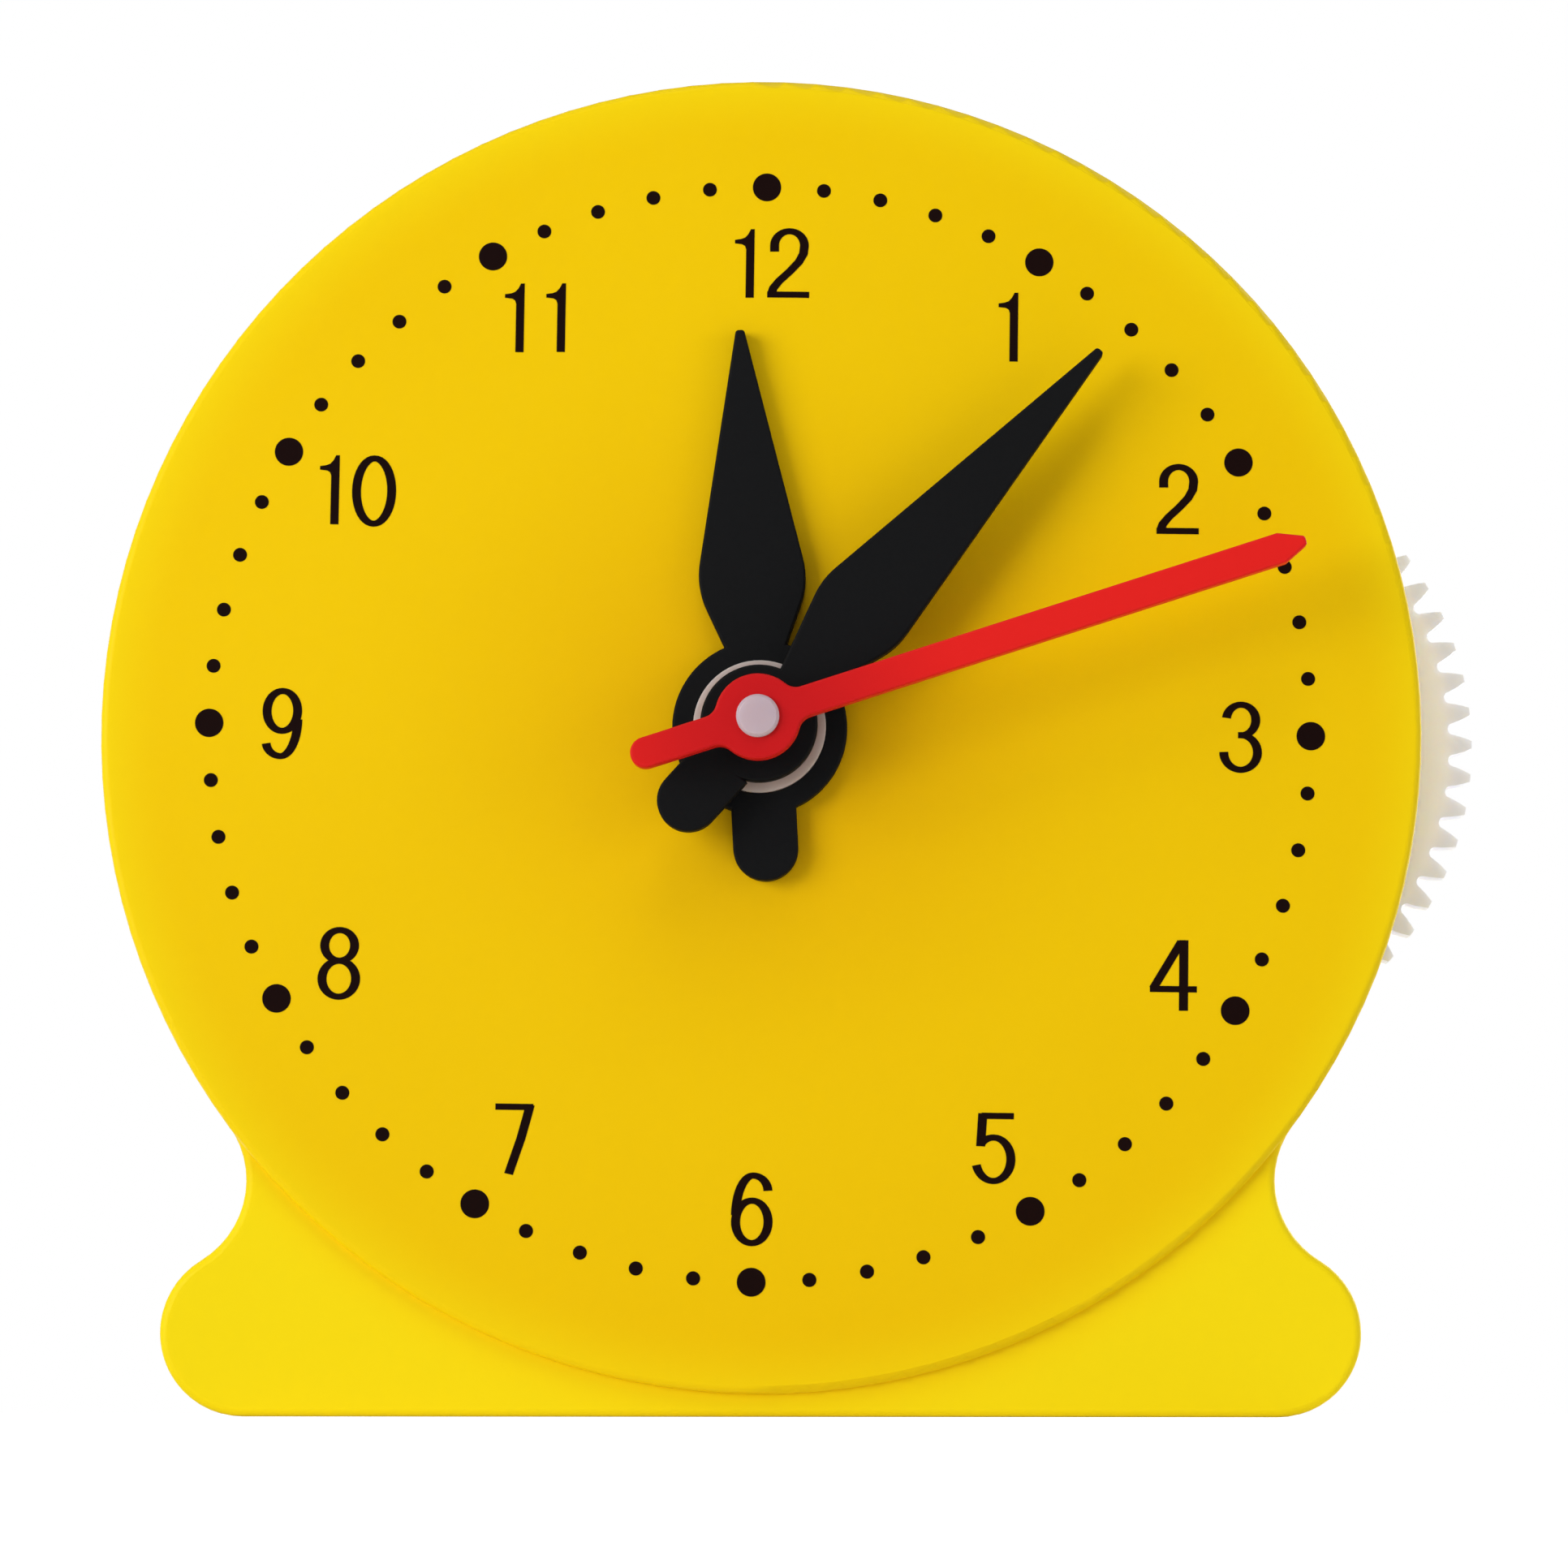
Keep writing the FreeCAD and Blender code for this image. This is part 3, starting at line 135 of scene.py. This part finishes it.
def distance_from(material, centre):
    """Distance of a point from an axis that runs from front to back through a centre."""
    place = add_node(material, "ShaderNodeTexCoord").outputs["Object"]
    flat = add_node(material, "ShaderNodeVectorMath", [
        (0, place), (1, (1.0, 0.0, 1.0))], operation="MULTIPLY")
    apart = add_node(material, "ShaderNodeVectorMath", [
        (0, flat.outputs[0]), (1, (centre.x, 0.0, centre.z))], operation="DISTANCE")
    return apart.outputs["Value"]


def edge_between(material, value, start, end):
    """Nought below the start and one above the end, smoothly."""
    return add_node(material, "ShaderNodeMapRange", [
        ("Value", value), ("From Min", start), ("From Max", end)],
        interpolation_type="SMOOTHSTEP").outputs["Result"]


def painted_glow_and_shade(material, shader, shade):
    """Painted light and shade: lemon painted over the empty foot for light through the thin ABS, amber
    painted round the hub for shade from the gears.
    """
    from_hub = distance_from(material, DIAL_CENTRE)
    painted_shade = add_node(material, "ShaderNodeMix", [
        ("Factor", edge_between(material, from_hub, PAINTED_SHADE_FULL, PAINTED_SHADE_GONE)),
        (MIX_A, paint(PAINTED_SHADE_AMBER)), (MIX_B, shade.outputs[MIX_RESULT])], data_type="RGBA")
    painted_light = add_node(material, "ShaderNodeMix", [
        ("Factor", edge_between(material, from_hub, PAINTED_LIGHT_START, PAINTED_LIGHT_FULL)),
        (MIX_A, painted_shade.outputs[MIX_RESULT]), (MIX_B, paint(PAINTED_LIGHT_LEMON))], data_type="RGBA")
    material.node_tree.links.new(shader.inputs["Base Color"], painted_light.outputs[MIX_RESULT])


DIAL_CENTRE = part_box("second_arbor")[0].lerp(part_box("second_arbor")[1], 0.5)
satin_abs, satin_shader, satin_shade = moulded(
    "yellow_abs_satin", (CASE_YELLOW, CASE_YELLOW_DEEP),
    SATIN_ROUGHNESS, SATIN_WAVE_SIZE, SATIN_WAVE_HEIGHT)
# The satin shell gets a painted lemon light on its foot and a painted amber shade round the hub
painted_glow_and_shade(satin_abs, satin_shader, satin_shade)
grained_abs, _, _ = moulded(
    "yellow_abs_spark_grain", (CASE_YELLOW, CASE_YELLOW_DEEP),
    SPARK_ROUGHNESS, SPARK_GRAIN_SIZE, SPARK_GRAIN_HEIGHT)
dress(satin_abs, "front_shell")
dress(grained_abs, "back_cover")

# Dial print: sixty minute dots and the numbers 1 to 12, pad printed on the shell in black ink.
# The pad laid the whole print a little to the left and turned it by under a degree.
# Places and radii of the print are in millimetres, to the right and up from the dial's centre.
INK_BLACK = "#120504"
INK_BLACK_WARM = "#160706"
INK_ROUGHNESS = 0.5
INK_GLOSS = 0.03
INK_HEIGHT = 0.03 * MM
INK_SINK = 0.02 * MM
PRINT_SHIFT = -0.14
PRINT_TURN = math.radians(0.75)
DOT_RING_RADIUS = 41.67
HOUR_DOT_RADIUS = 1.08
MINUTE_DOT_RADIUS = 0.53
DOTS = 60
DOTS_PER_HOUR = 5
DOT_SIDES = 36
NIB_ACROSS = 0.34
NIB_UP = 0.235
BOW_STEP_DEGREES = 9
SAME_POINT = 1e-5
DIAL_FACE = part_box("front_shell")[0].y


def bow(across, up, radius_across, radius_up, start, end):
    """Points along an arc of an ellipse, anticlockwise where the end angle is the larger."""
    count = max(2, round(abs(end - start) / BOW_STEP_DEGREES))
    angles = [math.radians(start + (end - start) * step / count) for step in range(count + 1)]
    return [(across + radius_across * math.cos(a), up + radius_up * math.sin(a)) for a in angles]


# Pen strokes of each digit in millimetres about its middle, in a narrow light sans
DIGITS = {
    "0": [bow(0.07, -0.13, 1.34, 2.51, 0, 360)],
    "2": [[(-1.03, 0.9)] + bow(0.1, 1.37, 1.14, 1.12, 180, 0)
          + [(1.17, 0.75), (0.83, 0.12), (0.15, -0.62), (-0.64, -1.36), (-1.09, -1.92), (-1.23, -2.4)],
          [(-1.55, -2.42), (1.65, -2.42)]],
    "3": [bow(-0.22, 1.345, 1.11, 1.165, 173, -90), bow(-0.24, -1.12, 1.27, 1.32, 90, -181),
          [(-0.44, 0.19), (-0.1, 0.19)]],
    "4": [[(0.6, 2.61), (0.6, -2.71)], [(-1.93, -1.09), (1.6, -1.09)], [(-1.68, -1.05), (0.42, 2.5)]],
    "5": [[(-1.0, 2.31), (1.42, 2.31)], [(-0.91, 2.5), (-1.05, 0.02)],
          bow(-0.09, -0.94, 1.32, 1.63, 133, -164)],
    "6": [bow(0.11, 1.42, 1.13, 1.17, 2, 90) + bow(0.11, -0.4, 1.28, 2.99, 90, 180)[1:],
          bow(0.06, -0.88, 1.22, 1.59, 0, 360)],
    "7": [[(-1.69, 1.84), (1.16, 1.84)],
          [(0.93, 2.01), (0.65, 0.9), (0.25, -0.6), (-0.25, -2.1), (-0.61, -3.21)]],
    "8": [bow(0.03, 1.36, 1.13, 1.16, 0, 360), bow(0.02, -1.16, 1.27, 1.36, 0, 360)],
    "9": [bow(0.0, 0.93, 1.16, 1.52, 0, 360),
          bow(-0.07, 0.3, 1.26, 2.82, 0, -90) + bow(-0.07, -1.4, 1.12, 1.12, -90, -172)[1:]],
}
# The 1 is cut as one shape: a stem with a short level flag that curls up into its top
ONE_OUTLINE = [(-1.07, 1.41), (-0.52, 1.35), (-0.3, 1.22), (-0.21, 0.95), (-0.21, -2.78), (0.42, -2.78),
               (0.42, 2.53), (0.14, 2.53), (-0.05, 2.15), (-0.3, 1.87), (-0.6, 1.76), (-1.07, 1.69)]
# Middle of each digit from the dial's centre, to the right and up
NUMERALS = [
    ("1", -1.31, 35.89), ("2", 1.68, 35.8), ("1", 18.84, 31.19), ("2", 31.46, 17.95),
    ("3", 36.62, -0.18), ("4", 31.6, -18.18), ("5", 18.12, -31.29), ("6", -0.08, -36.28),
    ("7", -17.73, -30.61), ("8", -31.44, -18.13), ("9", -36.14, 0.05), ("1", -32.62, 18.08),
    ("0", -29.61, 18.02), ("1", -18.79, 31.49), ("1", -15.64, 31.54),
]


def pen_quads(stroke):
    """The four-sided patches that a flat nib covers as it runs along a stroke."""
    closed = math.dist(stroke[0], stroke[-1]) < SAME_POINT
    sides = []
    for index, (across, up) in enumerate(stroke):
        before = stroke[index - 1] if index else (stroke[-2] if closed else stroke[0])
        after = stroke[index + 1] if index + 1 < len(stroke) else (stroke[1] if closed else stroke[-1])
        run = Vector((after[0] - before[0], after[1] - before[1])).normalized()
        lean = Vector((-run.y * NIB_ACROSS, run.x * NIB_UP))
        sides.append((Vector((across, up)) + lean, Vector((across, up)) - lean))
    return [(a[0], a[1], b[1], b[0]) for a, b in zip(sides, sides[1:])]


def lay_ink(name, outlines):
    """Join outlines in the dial's plane into one flat film of ink with a little thickness."""
    points, faces = [], []
    for outline in outlines:
        faces.append(list(range(len(points), len(points) + len(outline))))
        points.extend(Vector(point) for point in outline)
    film_points, _, film_faces, _, _, sources = geometry.delaunay_2d_cdt(
        points, [], faces, 1, SAME_POINT)
    mesh = bmesh.new()
    cos_turn, sin_turn = math.cos(PRINT_TURN), math.sin(PRINT_TURN)
    corners = []
    for point in film_points:
        across = PRINT_SHIFT + point.x * cos_turn + point.y * sin_turn
        up = point.y * cos_turn - point.x * sin_turn
        corners.append(mesh.verts.new((DIAL_CENTRE.x + across * MM, DIAL_FACE - INK_HEIGHT,
                                       DIAL_CENTRE.z + up * MM)))
    for face, source in zip(film_faces, sources):
        if source:
            mesh.faces.new([corners[index] for index in face])
    loose = [corner for corner in mesh.verts if not corner.link_faces]
    bmesh.ops.delete(mesh, geom=loose, context="VERTS")
    grown = bmesh.ops.extrude_face_region(mesh, geom=mesh.faces[:], use_keep_orig=True)
    rear = [item for item in grown["geom"] if isinstance(item, bmesh.types.BMVert)]
    bmesh.ops.translate(mesh, verts=rear, vec=(0, INK_HEIGHT + INK_SINK, 0))
    bmesh.ops.recalc_face_normals(mesh, faces=mesh.faces[:])
    data = bpy.data.meshes.new(name)
    mesh.to_mesh(data)
    mesh.free()
    piece = bpy.data.objects.new(name, data)
    bpy.context.scene.collection.objects.link(piece)
    data.materials.append(pad_ink)
    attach(piece, "case")


pad_ink, ink_shader, _ = moulded(
    "pad_printed_ink", (INK_BLACK, INK_BLACK_WARM), INK_ROUGHNESS, SATIN_WAVE_SIZE, SATIN_WAVE_HEIGHT)
ink_shader.inputs["Specular IOR Level"].default_value = INK_GLOSS
dots = []
for number in range(DOTS):
    radius = MINUTE_DOT_RADIUS if number % DOTS_PER_HOUR else HOUR_DOT_RADIUS
    angle = 2 * math.pi * number / DOTS
    middle = (DOT_RING_RADIUS * math.sin(angle), DOT_RING_RADIUS * math.cos(angle))
    dots.append([(middle[0] + radius * math.cos(2 * math.pi * side / DOT_SIDES),
                  middle[1] + radius * math.sin(2 * math.pi * side / DOT_SIDES))
                 for side in range(DOT_SIDES)])
lay_ink("printed_dots", dots)
patches = []
for digit, across, up in NUMERALS:
    shapes = [ONE_OUTLINE]
    if digit != "1":
        shapes = [quad for stroke in DIGITS[digit] for quad in pen_quads(stroke)]
    patches.extend([(across + point[0], up + point[1]) for point in shape] for shape in shapes)
lay_ink("printed_numerals", patches)

# Wheels, pinions and the second arbor: natural acetal, milky and slightly see-through, moulded smooth.
# Light scatters inside. The thumb wheel's thick rim is painted a bright warm glow for that scattered
# light, fading to grey on its thin teeth.
ACETAL_WHITE = "#E3DAD6"
ACETAL_WHITE_COOL = "#DCD5D6"
# Near white painted on the thumb wheel's rim as a glow of scattered light
ACETAL_RIM_PAINTED_GLOW = "#FFF9FF"
ACETAL_TOOTH = "#E2E5F2"
ACETAL_TUBE = "#CDB6AE"
ACETAL_TUBE_DEEP = "#C4ABA4"
ACETAL_LILAC = "#C9B5BD"
ACETAL_LILAC_DEEP = "#C1AAB4"
ACETAL_IOR = 1.48
ACETAL_ROUGHNESS = 0.38
ACETAL_GLOSS = 0.5
ACETAL_SCATTER_SHARE = 0.8
ACETAL_SCATTER_BY_COLOUR = (1.0, 0.8, 0.65)
ACETAL_SCATTER = 3 * MM
ACETAL_WAVE_SIZE = 1.6 * MM
ACETAL_WAVE_HEIGHT = 0.004 * MM
RIM_END = 22.4 * MM
TOOTH_START = 24.1 * MM


def acetal(name, colours):
    """A moulded plastic that light scatters in, a little more of it for red than for blue."""
    material, shader, shade = moulded(
        name, colours, ACETAL_ROUGHNESS, ACETAL_WAVE_SIZE, ACETAL_WAVE_HEIGHT)
    shader.inputs["IOR"].default_value = ACETAL_IOR
    shader.inputs["Specular IOR Level"].default_value = ACETAL_GLOSS
    shader.inputs["Subsurface Weight"].default_value = ACETAL_SCATTER_SHARE
    shader.inputs["Subsurface Radius"].default_value = ACETAL_SCATTER_BY_COLOUR
    shader.inputs["Subsurface Scale"].default_value = ACETAL_SCATTER
    return material, shader, shade


natural_acetal, _, _ = acetal("natural_acetal", (ACETAL_WHITE, ACETAL_WHITE_COOL))
dress(natural_acetal, "minute_arbor", "minute_wheel", "third_wheel")
tube_acetal, _, _ = acetal("hour_wheel_acetal", (ACETAL_TUBE, ACETAL_TUBE_DEEP))
dress(tube_acetal, "hour_wheel")
arbor_acetal, _, _ = acetal("arbor_acetal", (ACETAL_LILAC, ACETAL_LILAC_DEEP))
dress(arbor_acetal, "second_arbor")
thumb_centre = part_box("thumb_wheel")[0].lerp(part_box("thumb_wheel")[1], 0.5)
thumb_acetal, _, thumb_shade = acetal("thumb_wheel_acetal", (ACETAL_RIM_PAINTED_GLOW, ACETAL_TOOTH))
# Painted light: the bright warm rim colour fades to the teeth's grey outward from the wheel's axis
painted_rim_glow_fade = edge_between(
    thumb_acetal, distance_from(thumb_acetal, thumb_centre), RIM_END, TOOTH_START)
thumb_acetal.node_tree.links.new(thumb_shade.inputs["Factor"], painted_rim_glow_fade)
dress(thumb_acetal, "thumb_wheel")

# Hands: two black leaf-shaped ones and a narrow red one, moulded in polystyrene with a matt face.
# Each is pressed on the end of its own tube or arbor.
HAND_BLACK = "#090A0C"
HAND_BLACK_DEEP = "#070708"
HAND_RED = "#E9221F"
# A deeper red painted near the hub as shade on the second hand
HAND_RED_PAINTED_SHADE = "#C9181C"
BLACK_ROUGHNESS = 0.6
RED_ROUGHNESS = 0.45
HAND_GRAIN_SIZE = 0.4 * MM
HAND_GRAIN_HEIGHT = 0.006 * MM
# Distances from the hub between which the red hand's painted shade fades out
RED_PAINTED_SHADE_END = 1 * MM
RED_PAINTED_SHADE_GONE = 17 * MM
matt_black, _, _ = moulded(
    "black_polystyrene_matt", (HAND_BLACK, HAND_BLACK_DEEP),
    BLACK_ROUGHNESS, HAND_GRAIN_SIZE, HAND_GRAIN_HEIGHT)
satin_red, _, red_shade = moulded(
    "red_polystyrene_satin", (HAND_RED_PAINTED_SHADE, HAND_RED),
    RED_ROUGHNESS, HAND_GRAIN_SIZE, HAND_GRAIN_HEIGHT)
# Painted shade: the red hand is darker near the hub and reaches its full red 17 mm out
red_painted_shade_fade = edge_between(
    satin_red, distance_from(satin_red, DIAL_CENTRE), RED_PAINTED_SHADE_END, RED_PAINTED_SHADE_GONE)
satin_red.node_tree.links.new(red_shade.inputs["Factor"], red_painted_shade_fade)
dress(matt_black, "hour_hand", "minute_hand")
dress(satin_red, "second_hand")

# Axles, spring and cover screws: two ground steel pins, a dished steel washer, and zinc plated screws.
# The pins are pressed in the case's bosses, and the four screws hold the cover in its counterbores.
STEEL_GREY = "#9FA0A2"
STEEL_ROUGHNESS = 0.3
ZINC_GREY = "#A9ADB3"
ZINC_GREY_WARM = "#9D9D99"
ZINC_ROUGHNESS = 0.32
METAL_IOR = 1.5
METAL_LEVEL = 0.5
GRIND_MARK_SIZE = 0.15 * MM
GRIND_MARK_HEIGHT = 0.002 * MM


def metal(name, colours, roughness):
    """Two close greys with fine grinding marks, at the shader's own IOR for metal."""
    material, shader, _ = moulded(name, colours, roughness, GRIND_MARK_SIZE, GRIND_MARK_HEIGHT)
    shader.inputs["Metallic"].default_value = 1.0
    shader.inputs["IOR"].default_value = METAL_IOR
    shader.inputs["Specular IOR Level"].default_value = METAL_LEVEL
    return material


ground_steel = metal("ground_steel", (STEEL_GREY, ZINC_GREY), STEEL_ROUGHNESS)
zinc_plate = metal("zinc_plate", (ZINC_GREY, ZINC_GREY_WARM), ZINC_ROUGHNESS)
dress(ground_steel, "thumb_axle", "third_axle", "friction_spring")
dress(zinc_plate, "cover_screws")

# Studio: a white table in a white room, a soft lamp on the left in front and weaker ones to the right
# and above. A lamp behind on the right shines through the thumb wheel and lights the cover.
# The camera stands low in front, just above the table, as in the photograph.
# Places and sizes are in metres here, and the lens and the sensor in millimetres
TABLE_HALF = 0.9
WHITE = "#FFFFFF"
TABLE_WHITE = "#F4F4F4"
TABLE_LIFT = 0.7
ROOM_LIGHT = 0.22
KEY_WATTS = 2.75
KEY_SIZE = 0.4
KEY_PLACE = (-0.44, -0.4, 0.1)
FILL_WATTS = 0.58
FILL_SIZE = 0.3
FILL_PLACE = (0.6, -0.35, 0.12)
TOP_WATTS = 1.15
TOP_SIZE = 0.3
TOP_PLACE = (0.0, -0.4, 0.7)
REAR_WATTS = 7.2
REAR_SIZE = 0.9
REAR_PLACE = (0.46, 0.58, 0.2)
CAMERA_PLACE = (0.008743, -0.459588, 0.000285)
CAMERA_UP = math.radians(6.0248)
CAMERA_LEFT = math.radians(0.881)
CAMERA_ROLL = math.radians(-0.0487)
CAMERA_LENS = 136.861
CAMERA_NEAR = 10 * MM
SENSOR_WIDTH = 36.0


def seen_directly(tree_owner):
    """One for camera, mirror and glass rays, nought for the light that falls on things."""
    rays = add_node(tree_owner, "ShaderNodeLightPath")
    first = add_node(tree_owner, "ShaderNodeMath", [
        (0, rays.outputs["Is Camera Ray"]), (1, rays.outputs["Is Glossy Ray"])], operation="MAXIMUM")
    return add_node(tree_owner, "ShaderNodeMath", [
        (0, first.outputs[0]), (1, rays.outputs["Is Transmission Ray"])],
        operation="MAXIMUM").outputs[0]


room = bpy.data.worlds.new("white_room")
bpy.context.scene.world = room
room.use_nodes = True
room.node_tree.nodes.clear()
level = add_node(room, "ShaderNodeMapRange", [
    ("Value", seen_directly(room)), ("To Min", ROOM_LIGHT), ("To Max", 1.0)])
background = add_node(room, "ShaderNodeBackground", [
    ("Color", paint(WHITE)), ("Strength", level.outputs["Result"])])
add_node(room, "ShaderNodeOutputWorld", [("Surface", background.outputs["Background"])])

table_mesh = bmesh.new()
bmesh.ops.create_grid(table_mesh, x_segments=1, y_segments=1, size=TABLE_HALF)
table_data = bpy.data.meshes.new("table")
table_mesh.to_mesh(table_data)
table_mesh.free()
table = bpy.data.objects.new("table", table_data)
bpy.context.scene.collection.objects.link(table)
table_white = bpy.data.materials.new("white_table")
table_white.use_nodes = True
table_white.node_tree.nodes.clear()
matt = add_node(table_white, "ShaderNodeBsdfDiffuse", [("Color", paint(TABLE_WHITE))])
lift = add_node(table_white, "ShaderNodeMath", [
    (0, seen_directly(table_white)), (1, TABLE_LIFT)], operation="MULTIPLY")
glow = add_node(table_white, "ShaderNodeEmission", [
    ("Color", paint(WHITE)), ("Strength", lift.outputs[0])])
both = add_node(table_white, "ShaderNodeAddShader", [(0, matt.outputs[0]), (1, glow.outputs[0])])
add_node(table_white, "ShaderNodeOutputMaterial", [("Surface", both.outputs[0])])
table_data.materials.append(table_white)


def add_lamp(name, watts, size, place):
    """A square soft lamp that faces the hub."""
    lamp = bpy.data.lights.new(name, "AREA")
    lamp.energy = watts
    lamp.size = size
    holder = bpy.data.objects.new(name, lamp)
    bpy.context.scene.collection.objects.link(holder)
    holder.location = place
    holder.rotation_euler = (DIAL_CENTRE - Vector(place)).to_track_quat("-Z", "Y").to_euler()


add_lamp("soft_lamp_left", KEY_WATTS, KEY_SIZE, KEY_PLACE)
add_lamp("soft_lamp_right", FILL_WATTS, FILL_SIZE, FILL_PLACE)
add_lamp("soft_lamp_top", TOP_WATTS, TOP_SIZE, TOP_PLACE)
add_lamp("soft_lamp_rear", REAR_WATTS, REAR_SIZE, REAR_PLACE)

camera_data = bpy.data.cameras.new("camera")
camera_data.lens = CAMERA_LENS
camera_data.sensor_width = SENSOR_WIDTH
camera_data.clip_start = CAMERA_NEAR
camera = bpy.data.objects.new("camera", camera_data)
bpy.context.scene.collection.objects.link(camera)
camera.location = CAMERA_PLACE
camera.rotation_euler = (math.pi / 2 + CAMERA_UP, CAMERA_ROLL, CAMERA_LEFT)
bpy.context.scene.camera = camera
bpy.context.scene.view_settings.view_transform = "Standard"
